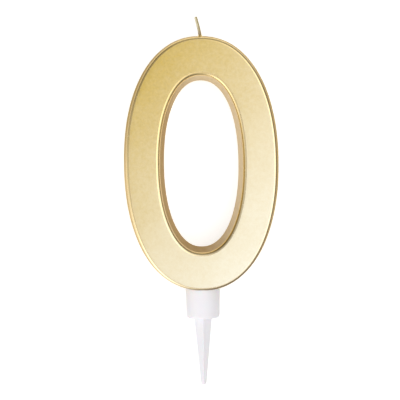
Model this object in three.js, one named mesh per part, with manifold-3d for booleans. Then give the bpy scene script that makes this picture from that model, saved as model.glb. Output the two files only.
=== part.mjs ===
// Number candle: a gilt wax nought with a short leaning wick, standing in a white cake pick.
// Millimetres, +Z up. The face looks towards -Y and +X is to the right of it. The origin lies on the
// pick's axis, where the cup's flat underside meets the icing: the spike goes down from there.
import * as THREE from "three";
import { mergeVertices } from "three/addons/utils/BufferGeometryUtils.js";
import Module from "manifold-3d";

const wasm = await Module();
wasm.setup();

// Driving dimensions of the nought, taken where its leaning walls meet the round edges of the face
const NUMERAL_WIDTH = 55.4;
const NUMERAL_HEIGHT = 92.6;
const HOLE_WIDTH = 30.4;
const HOLE_HEIGHT = 64.6;
const THICKNESS = 14;
// 2 gives a plain ellipse, and more gives fuller shoulders
const OVAL_POWER = 2.2;
const OUTER_EDGE_RADIUS = 1.2;
const HOLE_EDGE_RADIUS = 1.5;
// The walls lean, so that the cast wax leaves its mould: by the back they stand this much further out
const DRAFT = 1.3;
const BACK_CHAMFER = 0.4;
// The flat underside lies this much lower than the lowest point of the round edge
const UNDERSIDE_DROP = 0.1;
// The rim of the cup reaches up into a round socket in the underside, and carries the nought there
const SOCKET_DEPTH = 0.8;
const SOCKET_CLEARANCE = 0.3;

// Driving dimensions of the wick
const WICK_DIAMETER = 1.2;
const WICK_FREE_HEIGHT = 7.2;
const WICK_SUNK_DEPTH = 9;
// The wick leaves the wax upright for this height, and then its tip leans to the left
const WICK_UPRIGHT_HEIGHT = 1.5;
const WICK_TIP_LEAN = 1.6;
const WICK_CLEARANCE = 0.3;

// Driving dimensions of the pick's cup
const CUP_RIM_DIAMETER = 12.6;
const CUP_BASE_DIAMETER = 12.2;
const CUP_HEIGHT = 11.4;
const CUP_WALL = 1.1;
const CUP_FLOOR = 1.4;
const CUP_CORNER_RADIUS = 1.1;

// Driving dimensions of the wax foot inside the cup
const FOOT_CLEARANCE = 0.3;
const FOOT_CHAMFER = 0.8;
const FOOT_ROOT_DEPTH = 3;

// Driving dimensions of the pick's spike, whose four-sided section has a ridge in front
const SPIKE_ROOT_WIDTH = 6.6;
const SPIKE_TIP_WIDTH = 2.1;
const SPIKE_LENGTH = 24.9;
const SPIKE_TIP_CHAMFER = 0.4;

// How finely curves are cut into flats
const OVAL_STEPS = 144;
const EDGE_STEPS = 4;
const ROUND_STEPS = 64;
const CORNER_STEPS = 6;
const WICK_SIDES = 12;
const WICK_STEPS = 24;
const SPIKE_SIDES = 4;
// Cutters run past what they cut by this much
const OVERCUT = 2;
// Vertices closer than this are one vertex
const WELD_DISTANCE = 1e-4;

const faceY = -THICKNESS / 2;
const backY = THICKNESS / 2;
const ovalCentreZ = UNDERSIDE_DROP + NUMERAL_HEIGHT / 2;
// The height of the nought's underside above the icing
const undersideZ = CUP_HEIGHT - SOCKET_DEPTH;

// How far a leaning wall stands out at depth y, beyond where it meets its round edge
function wallLean(y, edgeRadius = OUTER_EDGE_RADIUS) {
  const edgeY = faceY + edgeRadius;
  return (DRAFT * (y - edgeY)) / (backY - edgeY);
}

// The height of the nought's crown above its underside, at the wick in the middle of its thickness
const crownZ = ovalCentreZ + NUMERAL_HEIGHT / 2 + wallLean(0);
const wickRootZ = crownZ - WICK_SUNK_DEPTH;

// The cup's outer radius at height z, and the radii of what nests inside it
function cupRadius(z) {
  const growth = (CUP_RIM_DIAMETER - CUP_BASE_DIAMETER) / 2;
  return CUP_BASE_DIAMETER / 2 + (growth * z) / CUP_HEIGHT;
}

function cupBoreRadius(z) {
  return cupRadius(z) - CUP_WALL;
}

function footRadius(z) {
  return cupBoreRadius(z) - FOOT_CLEARANCE;
}

// Half the spike's width at height z, which is 0 at its root and -SPIKE_LENGTH at its tip
function spikeRadius(z) {
  const taper = (SPIKE_ROOT_WIDTH - SPIKE_TIP_WIDTH) / SPIKE_LENGTH / 2;
  return SPIKE_ROOT_WIDTH / 2 + taper * z;
}

// Solids and meshes

function solidOf(geometry) {
  const bare = geometry.clone();
  bare.deleteAttribute("normal");
  bare.deleteAttribute("uv");
  const merged = mergeVertices(bare, WELD_DISTANCE);
  return new wasm.Manifold(
    new wasm.Mesh({
      numProp: 3,
      vertProperties: new Float32Array(merged.attributes.position.array),
      triVerts: new Uint32Array(merged.index.array),
    }),
  );
}

function geometryOf(solid) {
  const { numProp, vertProperties, triVerts } = solid.getMesh();
  const positions = new Float32Array((vertProperties.length / numProp) * 3);
  for (let vertex = 0; vertex * numProp < vertProperties.length; vertex += 1) {
    const start = vertex * numProp;
    positions.set(vertProperties.subarray(start, start + 3), vertex * 3);
  }
  const indexed = new THREE.BufferGeometry();
  indexed.setAttribute("position", new THREE.BufferAttribute(positions, 3));
  indexed.setIndex(new THREE.BufferAttribute(new Uint32Array(triVerts), 1));
  const geometry = indexed.toNonIndexed();
  geometry.computeVertexNormals();
  return geometry;
}

function namedMesh(name, geometry, finish) {
  const mesh = new THREE.Mesh(geometry, new THREE.MeshStandardMaterial(finish));
  mesh.name = name;
  return mesh;
}

// A closed surface turned about the Z axis from [radius, z] pairs that start and end on the axis
function turned(profile, steps) {
  const points = profile.map(([radius, z]) => new THREE.Vector2(radius, z));
  return new THREE.LatheGeometry(points, steps).rotateX(Math.PI / 2);
}

// The nought

function ovalShare(share) {
  return Math.sign(share) * Math.abs(share) ** (2 / OVAL_POWER);
}

// An oval block along Y: a lathe turned at radius 1 whose rows are then drawn out into ovals.
// Each row has its depth y and how far it stands outside an oval of the given width and height.
function ovalBlock(width, height, rows) {
  const first = rows[0];
  const last = rows[rows.length - 1];
  const profile = [
    new THREE.Vector2(0, first.y),
    ...rows.map(({ y }) => new THREE.Vector2(1, y)),
    new THREE.Vector2(0, last.y),
  ];
  const block = new THREE.LatheGeometry(profile, OVAL_STEPS);
  const position = block.attributes.position;
  for (let vertex = 0; vertex < position.count; vertex += 1) {
    const row = rows[(vertex % profile.length) - 1];
    if (row) {
      const halfWidth = width / 2 + row.outset;
      const halfHeight = height / 2 + row.outset;
      position.setX(vertex, halfWidth * ovalShare(position.getX(vertex)));
      position.setZ(vertex, halfHeight * ovalShare(position.getZ(vertex)));
    }
  }
  return block.translate(0, 0, ovalCentreZ);
}

// The rows of a round edge, from the face to where it runs into the leaning wall
function edgeRows(edgeRadius) {
  const lean = Math.atan(DRAFT / (THICKNESS - edgeRadius));
  const rows = [];
  for (let step = 0; step <= EDGE_STEPS; step += 1) {
    const turn = (step / EDGE_STEPS) * (Math.PI / 2 - lean);
    rows.push({
      y: faceY + edgeRadius * (1 - Math.cos(turn)),
      outset: edgeRadius * (Math.sin(turn) - 1 / Math.cos(lean)),
    });
  }
  return rows;
}

function outerOval() {
  return ovalBlock(NUMERAL_WIDTH, NUMERAL_HEIGHT, [
    ...edgeRows(OUTER_EDGE_RADIUS),
    { y: backY - BACK_CHAMFER, outset: wallLean(backY - BACK_CHAMFER) },
    { y: backY, outset: DRAFT - BACK_CHAMFER },
  ]);
}

// The cutter for the hole runs past the face straight, and past the back along its chamfer
function holeOval() {
  const edge = edgeRows(HOLE_EDGE_RADIUS).map(({ y, outset }) => ({ y, outset: -outset }));
  return ovalBlock(HOLE_WIDTH, HOLE_HEIGHT, [
    { y: faceY - OVERCUT, outset: edge[0].outset },
    ...edge,
    { y: backY - BACK_CHAMFER, outset: -wallLean(backY - BACK_CHAMFER, HOLE_EDGE_RADIUS) },
    { y: backY + OVERCUT, outset: OVERCUT + BACK_CHAMFER - DRAFT },
  ]);
}

// What lies below the flat underside, and so is trimmed off the nought
function belowUnderside() {
  const depth = THICKNESS + 2 * OVERCUT;
  const block = new THREE.BoxGeometry(NUMERAL_WIDTH, depth, NUMERAL_HEIGHT);
  return block.translate(0, 0, -NUMERAL_HEIGHT / 2);
}

function rimSocket() {
  const radius = CUP_RIM_DIAMETER / 2 + SOCKET_CLEARANCE;
  return turned(
    [
      [0, -OVERCUT],
      [radius, -OVERCUT],
      [radius, SOCKET_DEPTH],
      [0, SOCKET_DEPTH],
    ],
    ROUND_STEPS,
  );
}

// The round wax foot that fills the cup, with its root running up into the nought
function waxFoot() {
  const endZ = CUP_FLOOR + FOOT_CLEARANCE;
  const rootZ = CUP_HEIGHT + FOOT_ROOT_DEPTH;
  const foot = turned(
    [
      [0, endZ],
      [footRadius(endZ) - FOOT_CHAMFER, endZ],
      [footRadius(endZ + FOOT_CHAMFER), endZ + FOOT_CHAMFER],
      [footRadius(CUP_HEIGHT), CUP_HEIGHT],
      [footRadius(CUP_HEIGHT), rootZ],
      [0, rootZ],
    ],
    ROUND_STEPS,
  );
  return foot.translate(0, 0, -undersideZ);
}

function wickChannel() {
  const radius = WICK_DIAMETER / 2 + WICK_CLEARANCE;
  const openZ = crownZ + OVERCUT;
  return turned(
    [
      [0, wickRootZ],
      [radius, wickRootZ],
      [radius, openZ],
      [0, openZ],
    ],
    WICK_SIDES,
  );
}

function waxNumeral() {
  const solid = solidOf(outerOval())
    .subtract(solidOf(holeOval()))
    .subtract(solidOf(belowUnderside()))
    .subtract(solidOf(rimSocket()))
    .add(solidOf(waxFoot()))
    .subtract(solidOf(wickChannel()));
  return namedMesh("wax_numeral", geometryOf(solid), {
    color: 0xe3cd95,
    roughness: 0.36,
    metalness: 0.85,
  });
}

// The wick

function wick() {
  const path = new THREE.CurvePath();
  const root = new THREE.Vector3(0, 0, wickRootZ);
  const mouth = new THREE.Vector3(0, 0, crownZ);
  const bend = new THREE.Vector3(0, 0, crownZ + WICK_UPRIGHT_HEIGHT);
  const tip = new THREE.Vector3(-WICK_TIP_LEAN, 0, crownZ + WICK_FREE_HEIGHT);
  path.add(new THREE.LineCurve3(root, mouth));
  path.add(new THREE.QuadraticBezierCurve3(mouth, bend, tip));
  // A round section gets two sides for each curve segment
  const section = new THREE.Shape().absarc(0, 0, WICK_DIAMETER / 2, 0, 2 * Math.PI);
  const strand = new THREE.ExtrudeGeometry(section, {
    extrudePath: path,
    steps: WICK_STEPS,
    curveSegments: WICK_SIDES / 2,
  });
  return namedMesh("wick", strand, { color: 0xcabf96, roughness: 0.8, metalness: 0 });
}

// The pick

// The cup's side section: up its outside from the rounded corner of its base, and down its bore
function cupProfile() {
  const profile = [[0, 0]];
  const cornerX = cupRadius(CUP_CORNER_RADIUS) - CUP_CORNER_RADIUS;
  for (let step = 0; step <= CORNER_STEPS; step += 1) {
    const turn = (step / CORNER_STEPS) * (Math.PI / 2);
    const radius = cornerX + CUP_CORNER_RADIUS * Math.sin(turn);
    profile.push([radius, CUP_CORNER_RADIUS * (1 - Math.cos(turn))]);
  }
  profile.push([cupRadius(CUP_HEIGHT), CUP_HEIGHT]);
  profile.push([cupBoreRadius(CUP_HEIGHT), CUP_HEIGHT]);
  profile.push([cupBoreRadius(CUP_FLOOR), CUP_FLOOR]);
  profile.push([0, CUP_FLOOR]);
  return profile;
}

// The spike's root starts half way up the cup's floor
function spikeProfile() {
  const rootZ = CUP_FLOOR / 2;
  const chamferZ = SPIKE_TIP_CHAMFER - SPIKE_LENGTH;
  return [
    [0, -SPIKE_LENGTH],
    [spikeRadius(-SPIKE_LENGTH) - SPIKE_TIP_CHAMFER, -SPIKE_LENGTH],
    [spikeRadius(chamferZ), chamferZ],
    [spikeRadius(rootZ), rootZ],
    [0, rootZ],
  ];
}

function cakePick() {
  const cup = solidOf(turned(cupProfile(), ROUND_STEPS));
  const spike = solidOf(turned(spikeProfile(), SPIKE_SIDES));
  return namedMesh("cake_pick", geometryOf(cup.add(spike)), {
    color: 0xf2f0f4,
    roughness: 0.35,
    metalness: 0,
  });
}

// The assembly: the candle stands with the floor of its socket on the cup's rim

const candle = new THREE.Group();
candle.position.z = undersideZ;
candle.add(waxNumeral(), wick());

const numberCandle = new THREE.Group();
numberCandle.add(cakePick(), candle);

export default numberCandle;
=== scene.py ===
"""The looks of a number candle: a gilt wax nought with a short wick, standing in a white pick."""

import math

import bmesh
import bpy
import numpy as np
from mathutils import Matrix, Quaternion, Vector, noise


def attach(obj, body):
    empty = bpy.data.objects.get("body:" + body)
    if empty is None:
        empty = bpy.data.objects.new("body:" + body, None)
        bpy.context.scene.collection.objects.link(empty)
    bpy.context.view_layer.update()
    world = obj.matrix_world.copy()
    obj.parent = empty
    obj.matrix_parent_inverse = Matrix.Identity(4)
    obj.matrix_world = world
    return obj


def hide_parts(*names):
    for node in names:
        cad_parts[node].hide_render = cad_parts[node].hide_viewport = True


MM = 0.001
FULL_TURN = 2 * math.pi
QUARTER_TURN = math.pi / 2
ACROSS = (1.0, 0.0, 0.0)
BACKWARDS = (0.0, 1.0, 0.0)
UPWARDS = (0.0, 0.0, 1.0)

# The nought, in millimetres. Outsets are measured from where each wall meets its round edge.
OUTER_HALF = (27.7, 46.3)
HOLE_HALF = (15.2, 32.3)
OVAL_POWER = 2.2
THICKNESS = 14.0
DRAFT = 1.3
UNDERSIDE_Z = 10.6
UNDERSIDE_DROP = 0.1
OUTER_EDGE_ROUND = 1.2
HOLE_EDGE_ROUND = 1.5
BACK_EDGE_ROUND = 0.45
BACK_RIM = 2.0
SOCKET_R = 6.35
SOCKET_DEPTH = 0.8
FACE_Y = -THICKNESS / 2
BACK_Y = THICKNESS / 2
NOUGHT_Z = UNDERSIDE_Z + UNDERSIDE_DROP + OUTER_HALF[1]

# Where the nought's finishes change, in millimetres. The share is of the round edge's depth.
FACE_FINISH_DEPTH = 0.01
EDGE_FINISH_SHARE = 0.85
BACK_FINISH_DEPTH = 0.2

# The nought's mesh, and the cutter that shapes its underside
EDGE_STEPS = 14
ROUND_ABOUT = 576
FLAT_STEPS = 12
CUTTER_STEPS = 128
CUTTER_DEPTH = 5
SHARP_FROM = math.radians(45)

# The unevenness of the wax, in millimetres. A wave is listed as its size and its seed.
SWELL = 0.05
SWELL_SET_IN = 0.04
SWELL_DEPTH_SCALE = 0.3
SWELL_WAVE = (14.0, 5)
DIP = 0.10
DIP_FADE = 0.3
DIP_WAVE = (9.0, 3)
WAVE_SHIFTS = (17.3, 5.1, 9.7)
WAVE_FALLOFF = 1.0
WAVE_STEP = 2.0
WAVE_DEPTH = 2

# The collar at the foot of the wick, in millimetres: (radius, rise above the crown) round its section
COLLAR_PROFILE = [
    (1.45, -0.06),
    (1.2, 0.0),
    (1.0, 0.07),
    (0.84, 0.18),
    (0.72, 0.36),
    (0.66, 0.58),
    (0.60, 0.70),
    (0.50, 0.60),
    (0.45, -0.2),
    (1.45, -0.35),
]
COLLAR_STEPS = 48
COLLAR_SWELL = 0.08
COLLAR_WAVE = (1.2, 8)

# The wick, in millimetres
WICK_RISE = 7.2
WICK_UPRIGHT = 1.5
WICK_LEAN = 1.6
WICK_SLOPE = 0.25
WICK_SUNK = 1.5
WICK_LENGTH = 7.5
CROWN_LEAN = DRAFT * (THICKNESS / 2 - OUTER_EDGE_ROUND) / (THICKNESS - OUTER_EDGE_ROUND)
WICK_FOOT_Z = NOUGHT_Z + OUTER_HALF[1] + CROWN_LEAN
WICK_SIDES = 40
WICK_STEPS = 130
TIP_ROUND = 0.35
TIP_BLUNT = 0.65
TIP_CAP = 0.08
FUZZ = 0.03
FUZZ_PER_MM = 1.5
FUZZ_WAVE = (0.5, 4)

# The braid: strands that cross over as each swings to the side and to the front, in millimetres
STRANDS = 3
STRAND_R = 0.33
STRAND_SWING = (0.27, 0.15)
STRAND_PITCH = 2.6
STRAND_BLEND = 0.04
BRAID_LEAST_R = 0.55
BRAID_MOST_R = 0.60

# The pick and the wax foot in it, in millimetres
CUP_RIM_R = 6.3
CUP_BASE_R = 6.1
CUP_HEIGHT = 11.4
CUP_WALL = 1.1
CUP_FLOOR = 1.4
CUP_CORNER = 1.1
CUP_ROUNDS = [CUP_CORNER, 0.2, 0.25, 0.25]
CUP_ROUND_STEPS = 8
CUP_STEPS = 128
FOOT_R = 4.9
FOOT_GAP = 0.35
FOOT_TUCK = 0.6
FOOT_ROUNDS = [0.8, 0.1]
FOOT_ROUND_STEPS = 6
FOOT_STEPS = 96

# The spike, in millimetres. Its flare is (height, outset) and its point is (rise from the end, inset).
# The round of a ridge is at most RIDGE_ROUND_SHARE of the ridge's distance from the axis.
SPIKE_ROOT = 3.3
SPIKE_TIP = 1.05
SPIKE_LENGTH = 24.9
SPIKE_FLARE = [(CUP_FLOOR / 2, 0.25), (0.02, 0.25), (-0.1, 0.12), (-0.3, 0.02)]
SPIKE_FLARE_END = 0.3
SPIKE_POINT = [(0.2, 0.08), (0.08, 0.17), (0.0, 0.35), (0.0, 0.70)]
SPIKE_POINT_START = 0.4
SPIKE_STEPS = 39
RIDGES = 4
RIDGE_ROUND = 0.12
RIDGE_ROUND_SHARE = 0.45
RIDGE_STEPS = 8

# The camera, in millimetres and degrees, but its clip distances in metres
CAMERA_AT = (-5.2, -502.4, 67.8)
CAMERA_AIM = (-0.74, -7.0, 44.05)
CAMERA_ROLL = -0.65
CAMERA_VIEW_MM = 145.8
CAMERA_SENSOR_MM = 36.0
CAMERA_CLIP = (0.01, 20.0)

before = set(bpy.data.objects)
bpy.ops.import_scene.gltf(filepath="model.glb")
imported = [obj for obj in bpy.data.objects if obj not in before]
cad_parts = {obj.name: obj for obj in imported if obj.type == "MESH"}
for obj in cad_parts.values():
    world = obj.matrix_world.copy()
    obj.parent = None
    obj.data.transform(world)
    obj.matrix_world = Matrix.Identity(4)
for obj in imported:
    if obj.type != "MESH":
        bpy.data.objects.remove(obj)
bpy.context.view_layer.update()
scene = bpy.context.scene


# Meshes


def rounded(points, radii, steps):
    """An open line whose inner corners are arcs of the given radii."""
    corners = [np.array(p, float) for p in points]
    line = [corners[0]]
    for before, corner, after, radius in zip(corners, corners[1:], corners[2:], radii):
        to_before = (before - corner) / np.linalg.norm(before - corner)
        to_after = (after - corner) / np.linalg.norm(after - corner)
        half = math.acos(float(np.clip(to_before @ to_after, -1, 1))) / 2
        reach = radius / math.tan(half)
        middle = to_before + to_after
        centre = corner + middle / np.linalg.norm(middle) * radius / math.sin(half)
        first = corner + to_before * reach - centre
        last = corner + to_after * reach - centre
        turn = math.acos(float(np.clip(first @ last / radius**2, -1, 1)))
        for k in range(steps + 1):
            share = k / steps
            first_weight = math.sin((1 - share) * turn) / math.sin(turn)
            last_weight = math.sin(share * turn) / math.sin(turn)
            line.append(centre + first * first_weight + last * last_weight)
    line.append(corners[-1])
    return [tuple(p) for p in line]


def ring_faces(rings, sides, closed, skip=0):
    """The faces from ring to ring of a tube's vertices, and from its last ring to its first if closed."""
    faces = []
    for i in range(rings if closed else rings - 1):
        here = skip + i * sides
        there = skip + (i + 1) % rings * sides
        for j in range(sides):
            beside = (j + 1) % sides
            faces.append((here + j, here + beside, there + beside, there + j))
    return faces


def piece(name, verts, faces, materials, face_slots=None, smooth=True):
    """A mesh piece from points in millimetres."""
    mesh = bpy.data.meshes.new(name)
    mesh.from_pydata([Vector(v) * MM for v in verts], [], faces)
    mesh.validate()
    for material in materials:
        mesh.materials.append(material)
    if face_slots is not None:
        mesh.polygons.foreach_set("material_index", face_slots)
    mesh.polygons.foreach_set("use_smooth", [smooth] * len(mesh.polygons))
    mesh.update()
    made = bpy.data.objects.new(name, mesh)
    scene.collection.objects.link(made)
    return made


def solid(name, verts, faces, materials, face_slots=None):
    """A closed mesh piece whose faces all look out of it."""
    made = piece(name, verts, faces, materials, face_slots)
    work = bmesh.new()
    work.from_mesh(made.data)
    bmesh.ops.recalc_face_normals(work, faces=work.faces)
    work.to_mesh(made.data)
    work.free()
    made.data.update()
    return made


def turned(name, profile, steps, materials, face_slots=None):
    """A solid turned about the Z axis, from (radius, z) pairs that start and end on the axis."""
    verts = [(0, 0, profile[0][1])]
    inner = profile[1:-1]
    for radius, z in inner:
        for k in range(steps):
            turn = FULL_TURN * k / steps
            verts.append((radius * math.cos(turn), radius * math.sin(turn), z))
    verts.append((0, 0, profile[-1][1]))
    faces = ring_faces(len(inner), steps, closed=False, skip=1)
    last_ring = 1 + (len(inner) - 1) * steps
    for k in range(steps):
        beside = (k + 1) % steps
        faces.append((0, 1 + beside, 1 + k))
        faces.append((len(verts) - 1, last_ring + k, last_ring + beside))
    return solid(name, verts, faces, materials, face_slots)


def wave(point, size, seed):
    """Smooth noise of about -1 to 1, with features of that size in millimetres."""
    at = Vector(point) / size + Vector([seed * shift for shift in WAVE_SHIFTS])
    return noise.fractal(at, WAVE_FALLOFF, WAVE_STEP, WAVE_DEPTH)


# Materials


def rgb(red, green, blue):
    return (red, green, blue, 1.0)


# The colour sockets of a mix node, which share their names with others
MIX_SHARE = 0
MIX_FIRST = 6
MIX_SECOND = 7
MIX_RESULT = 2

# Nearly all values of a noise lie in this range.
NOISE_RANGE = (0.3, 0.7)

# In the finishes below, a noise is its size in millimetres, its detail and its roughness. A bump is its
# strength and its height in millimetres. A way is a direction, and a band is from where to where along
# it something changes, in metres. A shift moves such a band to and fro by that much, in metres.

# The painted sheen on the face and the round edges: the gilt is painted paler towards the lower right,
# where light falls brightest.
PAINTED_SHEEN_WAY = (0.70, 0.0, -0.71)
PAINTED_SHEEN_BAND = (-0.080, -0.002)
PAINTED_SHEEN_PATCHES = (18.0, 1.0, 0.5)
PAINTED_SHEEN_PATCH_SHIFT = 0.003
PAINTED_SHEEN_MOTTLE = 0.07

FACE_DEEP = rgb(0.62, 0.425, 0.04)
# The face's colour where its painted sheen is full, at the lower right.
FACE_PAINTED_SHEEN = rgb(0.87, 0.81, 0.635)
FACE_SPOT = rgb(0.38, 0.27, 0.05)
FACE_MOTTLE = (1.3, 3.0, 0.7)
FACE_SPOTS = (0.8, 3.0, 0.7)
FACE_SPOTS_RANGE = (0.35, 0.65)
FACE_SPOTS_SHARE = 0.26
FACE_SPOTS_END = 0.55
FACE_GRAIN = (0.42, 3.0, 0.6)
FACE_SPECKS = (0.16, 1.0, 0.5)
FACE_SPECKS_SHARE = 0.5
FACE_BUMP = (1.0, 0.02)
FACE_ROUGHNESS = (0.50, 0.60)
FACE_GLOSS = {"Metallic": 0.85, "Coat Weight": 1.0, "Coat Roughness": 0.28, "Coat IOR": 1.85}

# The round edges: gilt under the painted sheen, and the painted shade of the outer edge and of the hole's
# lip.
EDGE_DEEP = rgb(0.68, 0.50, 0.19)
EDGE_PAINTED_SHEEN = rgb(0.80, 0.68, 0.47)
EDGE_PAINTED_SHADE = rgb(0.24, 0.15, 0.05)
LIP_PAINTED_SHADE = rgb(0.60, 0.42, 0.13)
# Where the painted shade lies on the round edges: a band in depth, on the lower right side.
RIM_SHADE_BAND = (-0.00687, -0.00669)
SIDE_WAY = (0.90, 0.0, -0.25)
SIDE_BAND = (-0.018, 0.0)
# The painted shade about the outer wall's upper left, and its share on the round edge.
CORNER_WAY = (-1.0, 0.0, 0.4)
CORNER_BAND = (0.0495, 0.0570)
CORNER_ON_EDGE = 0.55
EDGE_RIPPLE = (1.1, 2.0, 0.5)
EDGE_BUMP = (0.15, 0.02)
EDGE_ROUGHNESS = (0.20, 0.28)
EDGE_GLOSS = {
    "Metallic": 1.0,
    "Specular Tint": rgb(0.80, 0.66, 0.44),
    "Coat Weight": 0.5,
    "Coat Roughness": 0.16,
}

# The walls are painted lit and shaded: the outer wall lighter towards the left and top, the hole's wall
# lighter towards its right and top.
WALL_SHADED = rgb(0.58, 0.41, 0.14)
WALL_LIT = rgb(0.70, 0.52, 0.24)
WALL_CORNER_SHADE = rgb(0.46, 0.32, 0.10)
WALL_LIGHT_WAY = (-0.90, 0.0, 0.25)
WALL_LIGHT_BAND = (0.0, 0.018)
HOLE_SHADED = rgb(0.53, 0.37, 0.18)
HOLE_LIT = rgb(0.78, 0.65, 0.44)
HOLE_LIGHT_WAY = (1.0, 0.10, 0.25)
HOLE_LIGHT_BAND = (0.005, 0.020)
WALL_METALLIC = (0.4, 0.65)
WALL_STRETCH = (1.0, 0.25, 1.0)
WALL_STREAKS = (1.6, 3.0, 0.5)
WALL_STREAK_SHIFT = 0.002
WALL_BUMP = (0.2, 0.03)
WALL_ROUGHNESS = (0.42, 0.55)
WALL_GLOSS = {"Specular IOR Level": 0.0, "Specular Tint": rgb(0.72, 0.62, 0.50)}

BACK_DEEP = rgb(0.75, 0.60, 0.29)
BACK_PALE = rgb(0.88, 0.76, 0.47)
BACK_CLOUDS = (12.0, 3.0, 0.5)
BACK_SKIN = (2.2, 4.0, 0.6)
BACK_BUMP = (0.3, 0.08)
BACK_ROUGHNESS = (0.32, 0.5)
BACK_GLOSS = {"Metallic": 0.85, "Coat Weight": 0.3, "Coat Roughness": 0.2}

# The wick's painted light on its left and painted shade on its right, then its foot and its tip.
COTTON_LIT = rgb(0.84, 0.77, 0.58)
COTTON_SHADED = rgb(0.42, 0.34, 0.15)
COTTON_FOOT = rgb(0.36, 0.25, 0.12)
COTTON_TIP = rgb(0.48, 0.42, 0.29)
COTTON_SIDE_BAND = (-0.00005, 0.00035)
COTTON_SIDE_SHIFT = 0.00012
COTTON_FOOT_BAND = (0.0003, 0.0030)
COTTON_TIP_BAND = (0.0068, 0.0074)
COTTON_LEVEL_SHIFT = 0.0006
COTTON_STRETCH = (1.0, 1.0, 0.35)
COTTON_FUZZ = (0.3, 3.0, 0.5)
COTTON_BUMP = (0.5, 0.05)
COTTON_ROUGHNESS = (0.42, 0.62)
COTTON_GLOSS = {"Sheen Weight": 0.2}

PLASTIC_DEEP = rgb(0.86, 0.84, 0.87)
PLASTIC_PALE = rgb(0.89, 0.875, 0.895)
PLASTIC_CLOUDS = (5.0, 2.0, 0.5)
PLASTIC_STRETCH = (1.0, 1.0, 0.15)
PLASTIC_FLOW = (0.5, 2.0, 0.5)
PLASTIC_BUMP = (0.08, 0.02)
PLASTIC_ROUGHNESS = (0.40, 0.50)
PLASTIC_GLOSS = {"Specular IOR Level": 0.25, "Subsurface Weight": 0.15, "Subsurface Scale": 0.001}


class Nodes:
    """A node tree with short calls to add nodes and join them."""

    def __init__(self, tree):
        self.tree = tree

    def add(self, kind, **settings):
        made = self.tree.nodes.new("ShaderNode" + kind)
        for name, value in settings.items():
            setattr(made, name, value)
        return made

    def join(self, source, target):
        self.tree.links.new(source, target)

    def feed(self, node, inputs):
        """Joins sockets to a node's inputs and sets its other inputs to values."""
        for key, value in inputs.items():
            if isinstance(value, bpy.types.NodeSocket):
                self.join(value, node.inputs[key])
            else:
                node.inputs[key].default_value = value

    def math(self, operation, a, b, clamp=False):
        made = self.add("Math", operation=operation, use_clamp=clamp)
        self.feed(made, {0: a, 1: b})
        return made.outputs[0]

    def dot(self, vector, direction):
        made = self.add("VectorMath", operation="DOT_PRODUCT")
        self.feed(made, {0: vector, 1: direction})
        return made.outputs["Value"]

    def scaled(self, vector, scale):
        made = self.add("VectorMath", operation="MULTIPLY")
        self.feed(made, {0: vector, 1: scale})
        return made.outputs["Vector"]

    def noise(self, vector, size_mm, detail, roughness):
        made = self.add("TexNoise")
        self.feed(made, {"Vector": vector, "Scale": 1 / (size_mm * MM)})
        self.feed(made, {"Detail": detail, "Roughness": roughness})
        return made.outputs["Fac"]

    def remap(self, value, old, new):
        """Takes one range of values to another, and holds values outside it at its ends."""
        made = self.add("MapRange")
        self.feed(made, {"Value": value, "From Min": old[0], "From Max": old[1]})
        self.feed(made, {"To Min": new[0], "To Max": new[1]})
        return made.outputs[0]

    def ramp(self, value, band):
        """From 0 where a band starts to 1 where it ends."""
        return self.remap(value, band, (0.0, 1.0))

    def spread(self, pattern, low, high):
        """Takes a noise to the range from low to high."""
        return self.remap(pattern, NOISE_RANGE, (low, high))

    def mix(self, share, first, second):
        """Mixes two colours, and is the second where the share is 1."""
        made = self.add("Mix", data_type="RGBA")
        self.feed(made, {MIX_SHARE: share, MIX_FIRST: first, MIX_SECOND: second})
        return made.outputs[MIX_RESULT]

    def bump(self, height, strength, distance_mm):
        made = self.add("Bump")
        self.feed(made, {"Height": height, "Strength": strength, "Distance": distance_mm * MM})
        return made.outputs["Normal"]

    def blend(self, share, first, second):
        """Mixes two shaders, and is the second where the share is 1."""
        made = self.add("MixShader")
        self.feed(made, {0: share, 1: first, 2: second})
        return made.outputs[0]


def new_material(name):
    """A material, its nodes, its shader and the place on the object."""
    made = bpy.data.materials.new(name)
    made.use_nodes = True
    nodes = Nodes(made.node_tree)
    shader = made.node_tree.nodes["Principled BSDF"]
    place = nodes.add("TexCoord").outputs["Object"]
    return made, nodes, shader, place


def painted_sheen(nodes, place, mottle):
    """Painted sheen: from 0 at the upper left to 1 at the lower right, where the gilt is painted paler as
    if lit brightest, with a random mottle.
    """
    along = nodes.dot(place, PAINTED_SHEEN_WAY)
    patch = nodes.spread(nodes.noise(place, *PAINTED_SHEEN_PATCHES), -PAINTED_SHEEN_PATCH_SHIFT, PAINTED_SHEEN_PATCH_SHIFT)
    share = nodes.ramp(nodes.math("ADD", along, patch), PAINTED_SHEEN_BAND)
    return nodes.math("ADD", share, nodes.spread(mottle, -PAINTED_SHEEN_MOTTLE, PAINTED_SHEEN_MOTTLE), clamp=True)


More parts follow.
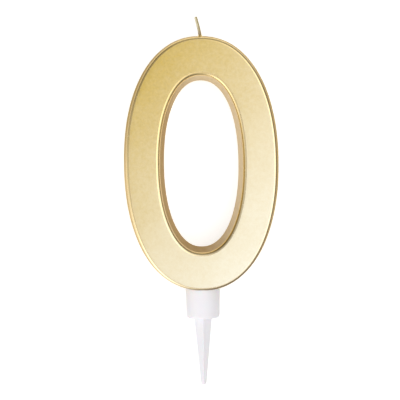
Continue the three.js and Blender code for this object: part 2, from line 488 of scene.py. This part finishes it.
def face_material():
    """Satin gilt lacquer with a fine grain, spotted at its upper left, and with a painted sheen that makes
    it paler at its lower right.
    """
    made, nodes, shader, place = new_material("gilt_face")
    mottle = nodes.noise(place, *FACE_MOTTLE)
    sheen = painted_sheen(nodes, place, mottle)
    spots = nodes.remap(nodes.noise(place, *FACE_SPOTS), FACE_SPOTS_RANGE, (0.0, FACE_SPOTS_SHARE))
    spots = nodes.math("MULTIPLY", spots, nodes.remap(sheen, (0.0, FACE_SPOTS_END), (1.0, 0.0)))
    # Painted sheen: the face grows paler towards the lower right.
    lacquer = nodes.mix(sheen, FACE_DEEP, FACE_PAINTED_SHEEN)
    grain = nodes.noise(place, *FACE_GRAIN)
    specks = nodes.math("MULTIPLY", nodes.noise(place, *FACE_SPECKS), FACE_SPECKS_SHARE)
    nodes.feed(shader, {"Base Color": nodes.mix(spots, lacquer, FACE_SPOT)})
    nodes.feed(shader, {"Normal": nodes.bump(nodes.math("ADD", grain, specks), *FACE_BUMP)})
    nodes.feed(shader, {"Roughness": nodes.spread(grain, *FACE_ROUGHNESS)})
    nodes.feed(shader, FACE_GLOSS)
    return made


def painted_shade_side(nodes, place):
    """Where a round edge carries painted shade: from 0 at the upper left to 1 at the lower right."""
    return nodes.ramp(nodes.dot(place, SIDE_WAY), SIDE_BAND)


def painted_shade_corner(nodes, place):
    """Where the outer wall and its round edge carry painted shade: 1 about the upper left, and 0 at the
    crown and below the middle.
    """
    return nodes.ramp(nodes.dot(place, CORNER_WAY), CORNER_BAND)


def edge_finish(name, shade):
    """A round edge: smooth lacquer with a painted sheen, and a band of painted shade where it turns down
    towards the walls.
    """
    made, nodes, shader, place = new_material(name)
    ripple = nodes.noise(place, *EDGE_RIPPLE)
    # Painted sheen, paler at the lower right, and a band of painted shade where the edge turns down to its
    # wall.
    bright = nodes.mix(painted_sheen(nodes, place, ripple), EDGE_DEEP, EDGE_PAINTED_SHEEN)
    rim_shade = nodes.ramp(nodes.dot(place, BACKWARDS), RIM_SHADE_BAND)
    corner = nodes.math("MULTIPLY", painted_shade_corner(nodes, place), CORNER_ON_EDGE)
    deep = nodes.math("MULTIPLY", rim_shade, nodes.math("MAXIMUM", painted_shade_side(nodes, place), corner))
    nodes.feed(shader, {"Base Color": nodes.mix(deep, bright, shade)})
    nodes.feed(shader, {"Normal": nodes.bump(ripple, *EDGE_BUMP)})
    nodes.feed(shader, {"Roughness": nodes.spread(ripple, *EDGE_ROUGHNESS)})
    nodes.feed(shader, EDGE_GLOSS)
    return made


def wall_finish(name, low, high, way, band, corner=None):
    """Satin lacquer on a wall, changing from one colour and gloss to another along a direction: painted
    shade at one end and painted light at the other.
    """
    made, nodes, shader, place = new_material(name)
    streaks = nodes.noise(nodes.scaled(place, WALL_STRETCH), *WALL_STREAKS)
    shift = nodes.spread(streaks, -WALL_STREAK_SHIFT, WALL_STREAK_SHIFT)
    along = nodes.math("ADD", nodes.dot(place, way), shift)
    # Painted light and shade along the wall.
    lacquer = nodes.mix(nodes.ramp(along, band), low, high)
    # Painted shade about the upper left of the outer wall.
    if corner:
        lacquer = nodes.mix(painted_shade_corner(nodes, place), lacquer, corner)
    nodes.feed(shader, {"Base Color": lacquer})
    nodes.feed(shader, {"Metallic": nodes.remap(along, band, WALL_METALLIC)})
    nodes.feed(shader, {"Normal": nodes.bump(streaks, *WALL_BUMP)})
    nodes.feed(shader, {"Roughness": nodes.spread(streaks, *WALL_ROUGHNESS)})
    nodes.feed(shader, WALL_GLOSS)
    return made


def back_material():
    """The back: lacquer over the rippled skin of the poured wax."""
    made, nodes, shader, place = new_material("gilt_back")
    clouds = nodes.noise(place, *BACK_CLOUDS)
    skin = nodes.noise(place, *BACK_SKIN)
    nodes.feed(shader, {"Base Color": nodes.mix(clouds, BACK_DEEP, BACK_PALE)})
    nodes.feed(shader, {"Normal": nodes.bump(skin, *BACK_BUMP)})
    nodes.feed(shader, {"Roughness": nodes.spread(skin, *BACK_ROUGHNESS)})
    nodes.feed(shader, BACK_GLOSS)
    return made


def wick_material():
    """Waxed cotton: gilt round its foot, painted shade up its right side and painted light on its left, and
    darker at its tip.
    """
    made, nodes, shader, place = new_material("wick_cotton")
    fuzz = nodes.noise(nodes.scaled(place, COTTON_STRETCH), *COTTON_FUZZ)
    rise = nodes.math("SUBTRACT", nodes.dot(place, UPWARDS), WICK_FOOT_Z * MM)
    shift = nodes.spread(fuzz, -COTTON_LEVEL_SHIFT, COTTON_LEVEL_SHIFT)
    level = nodes.math("ADD", rise, shift)
    right = nodes.math("ADD", nodes.dot(place, ACROSS), nodes.math("MULTIPLY", rise, WICK_SLOPE))
    shift = nodes.spread(fuzz, -COTTON_SIDE_SHIFT, COTTON_SIDE_SHIFT)
    right = nodes.math("ADD", right, shift)
    # Painted light on the left of the wick, painted shade on its right.
    body = nodes.mix(nodes.ramp(right, COTTON_SIDE_BAND), COTTON_LIT, COTTON_SHADED)
    body = nodes.mix(nodes.ramp(level, COTTON_FOOT_BAND), COTTON_FOOT, body)
    body = nodes.mix(nodes.ramp(level, COTTON_TIP_BAND), body, COTTON_TIP)
    nodes.feed(shader, {"Base Color": body})
    nodes.feed(shader, {"Normal": nodes.bump(fuzz, *COTTON_BUMP)})
    nodes.feed(shader, {"Roughness": nodes.spread(fuzz, *COTTON_ROUGHNESS)})
    nodes.feed(shader, COTTON_GLOSS)
    return made


def plastic_material():
    """White moulded plastic with a faint lilac cast."""
    made, nodes, shader, place = new_material("white_polystyrene")
    clouds = nodes.noise(place, *PLASTIC_CLOUDS)
    flow = nodes.noise(nodes.scaled(place, PLASTIC_STRETCH), *PLASTIC_FLOW)
    nodes.feed(shader, {"Base Color": nodes.mix(clouds, PLASTIC_DEEP, PLASTIC_PALE)})
    nodes.feed(shader, {"Normal": nodes.bump(flow, *PLASTIC_BUMP)})
    nodes.feed(shader, {"Roughness": nodes.spread(flow, *PLASTIC_ROUGHNESS)})
    nodes.feed(shader, PLASTIC_GLOSS)
    return made


GILT_EDGE = edge_finish("gilt_edge", EDGE_PAINTED_SHADE)
GILT_LIP = edge_finish("gilt_lip", LIP_PAINTED_SHADE)
GILT_WALL = wall_finish("gilt_wall", WALL_SHADED, WALL_LIT, WALL_LIGHT_WAY, WALL_LIGHT_BAND, WALL_CORNER_SHADE)
GILT_HOLE = wall_finish("gilt_hole", HOLE_SHADED, HOLE_LIT, HOLE_LIGHT_WAY, HOLE_LIGHT_BAND)
NOUGHT_FINISHES = [GILT_EDGE, GILT_LIP, face_material(), back_material(), GILT_WALL, GILT_HOLE]
WICK_COTTON = wick_material()
WHITE_PLASTIC = plastic_material()

# The finishes in the order of NOUGHT_FINISHES: between two rings the first of their two is used.
EDGE, LIP, FACE, BACK, WALL, HOLE = range(len(NOUGHT_FINISHES))


# The nought


def oval_share(value):
    return math.copysign(abs(value) ** (2 / OVAL_POWER), value)


TURNS = [FULL_TURN * k / ROUND_ABOUT for k in range(ROUND_ABOUT)]
OVAL_X = np.array([oval_share(math.cos(turn)) for turn in TURNS])
OVAL_Z = np.array([oval_share(math.sin(turn)) for turn in TURNS])


def oval_row(half, outset, y):
    """A ring of points round an oval that lies that far outside the given one, at depth y."""
    x = (half[0] + outset) * OVAL_X
    z = NOUGHT_Z + (half[1] + outset) * OVAL_Z
    return np.stack([x, np.full(ROUND_ABOUT, y), z], 1)


def face_corner(radius):
    """How far inside the start of its round edge a leaning wall would meet the face."""
    return radius * DRAFT / (THICKNESS - radius)


def finish_at(y, edge_round, edge, wall):
    """The finish of a ring at depth y, on a side that has that round edge, edge finish and wall."""
    if y < FACE_Y + FACE_FINISH_DEPTH:
        return FACE
    if y < FACE_Y + EDGE_FINISH_SHARE * edge_round:
        return edge
    if y < BACK_Y - BACK_FINISH_DEPTH:
        return wall
    return BACK


def side_rows(half, line, edge_round, edge, wall):
    """The rings of one side of the nought, each with its finish, from a line of (outset, y) pairs."""
    return [(oval_row(half, outset, y), finish_at(y, edge_round, edge, wall)) for outset, y in line]


def between(first, last, finish):
    """Rings spaced evenly from one ring to another, without the two themselves."""
    return [(first + (last - first) * k / FLAT_STEPS, finish) for k in range(1, FLAT_STEPS)]


def nought_rows():
    """The rings of the nought from the middle of its back round to it again, each with its finish."""
    outer = [
        (DRAFT - BACK_RIM, BACK_Y),
        (DRAFT, BACK_Y),
        (-face_corner(OUTER_EDGE_ROUND), FACE_Y),
        (-2 * OUTER_EDGE_ROUND, FACE_Y),
    ]
    outer = rounded(outer, [BACK_EDGE_ROUND, OUTER_EDGE_ROUND], EDGE_STEPS)
    hole = [
        (2 * HOLE_EDGE_ROUND, FACE_Y),
        (face_corner(HOLE_EDGE_ROUND), FACE_Y),
        (-DRAFT, BACK_Y),
        (BACK_RIM - DRAFT, BACK_Y),
    ]
    hole = rounded(hole, [HOLE_EDGE_ROUND, BACK_EDGE_ROUND], EDGE_STEPS)
    outer_rows = side_rows(OUTER_HALF, outer, OUTER_EDGE_ROUND, EDGE, WALL)
    hole_rows = side_rows(HOLE_HALF, hole, HOLE_EDGE_ROUND, LIP, HOLE)
    face_rows = between(outer_rows[-1][0], hole_rows[0][0], FACE)
    back_rows = between(hole_rows[-1][0], outer_rows[0][0], BACK)
    return outer_rows + face_rows + hole_rows + back_rows


def uneven(point):
    """Moves a point as hand-finished wax does: broad swells, and a rippled skin on the back."""
    x, y, z = point
    swell = min(0.0, SWELL * wave((x, y * SWELL_DEPTH_SCALE, z), *SWELL_WAVE) - SWELL_SET_IN)
    across = x / OUTER_HALF[0]
    up = (z - NOUGHT_Z) / OUTER_HALF[1]
    length = math.hypot(across, up)
    back = min(1.0, max(0.0, (y - BACK_Y + DIP_FADE) / DIP_FADE))
    dip = max(0.0, DIP + DIP * wave((x, 0, z), *DIP_WAVE)) * back
    return (x + swell * across / length, y - dip, z + swell * up / length)


def under_cutter():
    """What is cut away under the nought: all below its flat underside, and the socket for the cup's rim."""
    wide = 2 * OUTER_HALF[0]
    low = UNDERSIDE_Z - CUTTER_DEPTH
    socket_z = UNDERSIDE_Z + SOCKET_DEPTH
    profile = [(0, low), (wide, low), (wide, UNDERSIDE_Z), (SOCKET_R, UNDERSIDE_Z)]
    profile += [(SOCKET_R, socket_z), (0, socket_z)]
    slots = [WALL] * (len(profile) * CUTTER_STEPS)
    return turned("under_cutter", profile, CUTTER_STEPS, NOUGHT_FINISHES, slots)


def cut_by(made, cutter):
    """Cuts one closed mesh out of another, and keeps the cut's rims sharp."""
    cut = made.modifiers.new("cut", "BOOLEAN")
    cut.object = cutter
    cut.operation = "DIFFERENCE"
    cut.solver = "EXACT"
    held = bpy.context.evaluated_depsgraph_get()
    mesh = bpy.data.meshes.new_from_object(made.evaluated_get(held))
    made.modifiers.clear()
    made.data = mesh
    mesh.set_sharp_from_angle(angle=SHARP_FROM)
    bpy.data.objects.remove(cutter)


def make_nought():
    rows = nought_rows()
    points = [uneven(point) for ring, _ in rows for point in ring]
    faces = ring_faces(len(rows), ROUND_ABOUT, closed=True)
    finishes = [finish for _, finish in rows]
    slots = []
    for here, there in zip(finishes, finishes[1:] + finishes[:1]):
        slots += [min(here, there)] * ROUND_ABOUT
    made = solid("nought", points, faces, NOUGHT_FINISHES, slots)
    cut_by(made, under_cutter())
    return made


def crown_height(x, y):
    """The height of the nought's outer wall above its middle."""
    lean = DRAFT * (y - FACE_Y - OUTER_EDGE_ROUND) / (THICKNESS - OUTER_EDGE_ROUND)
    half_x = OUTER_HALF[0] + lean
    half_z = OUTER_HALF[1] + lean
    return NOUGHT_Z + half_z * (1 - abs(x / half_x) ** OVAL_POWER) ** (1 / OVAL_POWER)


def make_collar():
    """The low ring of wax that climbs the wick where it leaves the crown."""
    verts = []
    for radius, rise in COLLAR_PROFILE:
        for k in range(COLLAR_STEPS):
            turn = FULL_TURN * k / COLLAR_STEPS
            x = radius * math.cos(turn)
            y = radius * math.sin(turn)
            swell = COLLAR_SWELL * wave((x, y, 0), *COLLAR_WAVE) * max(rise, 0)
            verts.append((x, y, crown_height(x, y) + rise + swell))
    faces = ring_faces(len(COLLAR_PROFILE), COLLAR_STEPS, closed=True)
    return solid("wick_collar", verts, faces, [GILT_EDGE])


def make_foot():
    """The round wax foot that stands in the cup."""
    low = CUP_FLOOR + FOOT_GAP
    high = CUP_HEIGHT + FOOT_TUCK
    taper = (CUP_RIM_R - CUP_BASE_R) / CUP_HEIGHT * (high - low)
    profile = [(0, low), (FOOT_R - taper, low), (FOOT_R, high), (0, high)]
    profile = rounded(profile, FOOT_ROUNDS, FOOT_ROUND_STEPS)
    return turned("wax_foot", profile, FOOT_STEPS, [GILT_WALL])


# The wick


def wick_line(count):
    """Points and directions along the middle of the wick."""
    start = np.array((0.0, 0.0, crown_height(0, 0)))
    bend = start + (0, 0, WICK_UPRIGHT)
    end = start + (-WICK_LEAN, 0, WICK_RISE)
    line = [(start - (0, 0, WICK_SUNK), np.array(UPWARDS))]
    for k in range(count + 1):
        share = k / count
        at = start * (1 - share) ** 2 + bend * 2 * share * (1 - share) + end * share * share
        along = (bend - start) * (1 - share) + (end - bend) * share
        line.append((at, along / np.linalg.norm(along)))
    return line


def braid_radius(turn, travel):
    """How far the skin of a waxed three-strand braid stands from its middle."""
    reach = BRAID_LEAST_R
    unit = np.array((math.cos(turn), math.sin(turn)))
    for strand in range(STRANDS):
        phase = travel * FULL_TURN / STRAND_PITCH + strand * FULL_TURN / STRANDS
        centre = np.array((STRAND_SWING[0] * math.sin(phase), STRAND_SWING[1] * math.sin(2 * phase)))
        along = centre @ unit
        across = centre[0] * unit[1] - centre[1] * unit[0]
        inside = STRAND_R**2 - across**2
        if inside > 0:
            out = along + math.sqrt(inside)
            reach = max(reach, out) + STRAND_BLEND * math.exp(-abs(out - reach) / STRAND_BLEND)
    return min(reach, BRAID_MOST_R)


def tip_share(to_tip):
    """The share of its radius that the braid keeps at that distance from its tip."""
    if to_tip >= TIP_ROUND:
        return 1.0
    arc = math.sqrt(max(0.0, 1 - (1 - to_tip / TIP_ROUND) ** 2))
    return arc * (1 - TIP_BLUNT) + TIP_BLUNT


def make_wick():
    line = wick_line(WICK_STEPS)
    across = np.array(BACKWARDS)
    verts = []
    travel = 0.0
    for k, (at, along) in enumerate(line):
        if k:
            travel += float(np.linalg.norm(at - line[k - 1][0]))
        side = np.cross(across, along)
        share = tip_share((len(line) - 1 - k) / WICK_STEPS * WICK_LENGTH)
        for j in range(WICK_SIDES):
            turn = FULL_TURN * j / WICK_SIDES
            radius = braid_radius(turn, travel) * share
            radius *= 1 + FUZZ * wave((math.cos(turn), math.sin(turn), travel * FUZZ_PER_MM), *FUZZ_WAVE)
            verts.append(at + (side * math.cos(turn) + across * math.sin(turn)) * radius)
    verts.append(line[-1][0] + line[-1][1] * TIP_CAP)
    verts.append(line[0][0])
    faces = ring_faces(len(line), WICK_SIDES, closed=False)
    last_ring = (len(line) - 1) * WICK_SIDES
    for j in range(WICK_SIDES):
        beside = (j + 1) % WICK_SIDES
        faces.append((last_ring + j, last_ring + beside, len(verts) - 2))
        faces.append((beside, j, len(verts) - 1))
    return solid("wick_braid", verts, faces, [WICK_COTTON])


# The pick


def make_cup():
    slope = (CUP_RIM_R - CUP_BASE_R) / CUP_HEIGHT
    floor_r = CUP_BASE_R + slope * CUP_FLOOR - CUP_WALL
    profile = [
        (0, 0),
        (CUP_BASE_R, 0),
        (CUP_RIM_R, CUP_HEIGHT),
        (CUP_RIM_R - CUP_WALL, CUP_HEIGHT),
        (floor_r, CUP_FLOOR),
        (0, CUP_FLOOR),
    ]
    profile = rounded(profile, CUP_ROUNDS, CUP_ROUND_STEPS)
    return turned("pick_cup", profile, CUP_STEPS, [WHITE_PLASTIC])


def spike_ring(reach, z):
    """A ring of a four-sided spike with rounded ridges, one of them in front."""
    ring = []
    corner = min(RIDGE_ROUND, reach * RIDGE_ROUND_SHARE)
    centre = reach - corner * math.sqrt(2)
    for side in range(RIDGES):
        facing = side * QUARTER_TURN - QUARTER_TURN
        hub_x = math.cos(facing) * centre
        hub_y = math.sin(facing) * centre
        for k in range(RIDGE_STEPS + 1):
            turn = facing - QUARTER_TURN / 2 + k / RIDGE_STEPS * QUARTER_TURN
            ring.append((hub_x + corner * math.cos(turn), hub_y + corner * math.sin(turn), z))
    return ring


def make_spike():
    levels = [(z, SPIKE_ROOT + outset) for z, outset in SPIKE_FLARE]
    straight = SPIKE_LENGTH - SPIKE_FLARE_END - SPIKE_POINT_START
    taper = (SPIKE_ROOT - SPIKE_TIP) / SPIKE_LENGTH
    for k in range(1, SPIKE_STEPS + 1):
        z = -SPIKE_FLARE_END - straight * k / SPIKE_STEPS
        levels.append((z, SPIKE_ROOT + taper * z))
    levels += [(rise - SPIKE_LENGTH, SPIKE_TIP - inset) for rise, inset in SPIKE_POINT]
    verts = []
    for z, reach in levels:
        verts += spike_ring(reach, z)
    sides = len(verts) // len(levels)
    verts += [(0, 0, levels[0][0]), (0, 0, levels[-1][0])]
    faces = ring_faces(len(levels), sides, closed=False)
    last_ring = (len(levels) - 1) * sides
    for j in range(sides):
        beside = (j + 1) % sides
        faces.append((beside, j, len(verts) - 2))
        faces.append((last_ring + j, last_ring + beside, len(verts) - 1))
    return solid("pick_spike", verts, faces, [WHITE_PLASTIC])


nought = make_nought()
collar = make_collar()
foot = make_foot()
for made in (nought, collar, foot):
    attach(made, "candle")
    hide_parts("wax_numeral")

wick = make_wick()
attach(wick, "candle")
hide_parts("wick")

cup = make_cup()
spike = make_spike()
for made in (cup, spike):
    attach(made, "pick")
    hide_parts("cake_pick")


# The table that the candle lies on, in millimetres

TABLE_GAP = 0.1
TABLE_REACH = 2500.0
TABLE_PAPER = rgb(0.75, 0.75, 0.75)
TABLE_GLOW = 0.56


def table_material():
    """White paper that glows to the camera and to mirrors, and that is clear from behind."""
    made = bpy.data.materials.new("table_white")
    made.use_nodes = True
    tree = made.node_tree
    tree.nodes.remove(tree.nodes["Principled BSDF"])
    nodes = Nodes(tree)
    paper = nodes.add("BsdfDiffuse")
    nodes.feed(paper, {"Color": TABLE_PAPER})
    rays = nodes.add("LightPath").outputs
    shown = nodes.math("MAXIMUM", rays["Is Camera Ray"], rays["Is Transmission Ray"])
    shown = nodes.math("MAXIMUM", shown, rays["Is Glossy Ray"])
    glow = nodes.add("Emission")
    nodes.feed(glow, {"Strength": nodes.math("MULTIPLY", shown, TABLE_GLOW)})
    lit = nodes.add("AddShader")
    nodes.feed(lit, {0: paper.outputs[0], 1: glow.outputs[0]})
    clear = nodes.add("BsdfTransparent")
    behind = nodes.add("NewGeometry").outputs["Backfacing"]
    seen = nodes.blend(behind, lit.outputs[0], clear.outputs[0])
    nodes.join(seen, tree.nodes["Material Output"].inputs["Surface"])
    return made


def make_table():
    """A wide flat sheet that faces the camera, just behind the candle's back."""
    y = BACK_Y + TABLE_GAP
    far = TABLE_REACH
    corners = [(-far, y, -far), (far, y, -far), (far, y, far), (-far, y, far)]
    return piece("table", corners, [(0, 1, 2, 3)], [table_material()], smooth=False)


table = make_table()


# The studio: soft walls of light all round. Each has its direction, its focus and its strength.

STUDIO_LEVEL = 0.165
SOFT_WALLS = [
    ((0.0, -1.0, 0.0), 12.0, 0.20),
    ((0.574, -0.819, 0.0), 8.0, 1.75),
    ((0.0, -0.819, 0.574), 8.0, 0.32),
    ((-0.574, -0.819, 0.0), 8.0, 0.32),
    ((0.0, -0.819, -0.574), 8.0, 0.46),
    ((0.299, -0.906, -0.299), 16.0, 0.36),
    ((0.299, -0.906, 0.299), 16.0, 0.84),
    ((0.0, -0.259, 0.966), 6.0, 0.27),
    ((-0.966, -0.259, 0.0), 6.0, 0.25),
    ((-0.683, -0.259, -0.683), 6.0, 2.45),
    ((0.0, 1.0, 0.0), 1.0, 0.9),
]
WHITE = rgb(1, 1, 1)
WHITE_LEVEL = 1.0
BEHIND_STEEPNESS = 8.0


def make_world():
    """The soft walls as light, and plain white for the camera and for what mirrors see behind."""
    world = bpy.data.worlds.new("studio")
    scene.world = world
    world.use_nodes = True
    tree = world.node_tree
    nodes = Nodes(tree)
    facing = nodes.add("TexCoord").outputs["Generated"]
    total = STUDIO_LEVEL
    for direction, focus, strength in SOFT_WALLS:
        unit = tuple(Vector(direction).normalized())
        wall = nodes.math("POWER", nodes.math("MAXIMUM", nodes.dot(facing, unit), 0.0), focus)
        total = nodes.math("ADD", nodes.math("MULTIPLY", wall, strength), total)
    studio = tree.nodes["Background"]
    nodes.feed(studio, {"Color": WHITE, "Strength": total})
    white = nodes.add("Background")
    nodes.feed(white, {"Color": WHITE, "Strength": WHITE_LEVEL})
    rays = nodes.add("LightPath").outputs
    seen = nodes.math("MAXIMUM", rays["Is Camera Ray"], rays["Is Transmission Ray"])
    behind = nodes.math("MULTIPLY", nodes.dot(facing, BACKWARDS), BEHIND_STEEPNESS, clamp=True)
    mirrored = nodes.math("MULTIPLY", rays["Is Glossy Ray"], behind)
    share = nodes.math("MAXIMUM", seen, mirrored)
    shown = nodes.blend(share, studio.outputs[0], white.outputs[0])
    nodes.join(shown, tree.nodes["World Output"].inputs["Surface"])


make_world()


# Camera


def make_camera():
    data = bpy.data.cameras.new("camera")
    camera = bpy.data.objects.new("camera", data)
    at = Vector(CAMERA_AT) * MM
    aim = Vector(CAMERA_AIM) * MM
    data.sensor_width = CAMERA_SENSOR_MM
    data.lens = CAMERA_SENSOR_MM * (aim - at).length / (CAMERA_VIEW_MM * MM)
    data.clip_start, data.clip_end = CAMERA_CLIP
    camera.location = at
    camera.rotation_mode = "QUATERNION"
    look = (aim - at).to_track_quat("-Z", "Y")
    camera.rotation_quaternion = look @ Quaternion(UPWARDS, math.radians(CAMERA_ROLL))
    scene.collection.objects.link(camera)
    scene.camera = camera


make_camera()
scene.view_settings.view_transform = "Standard"
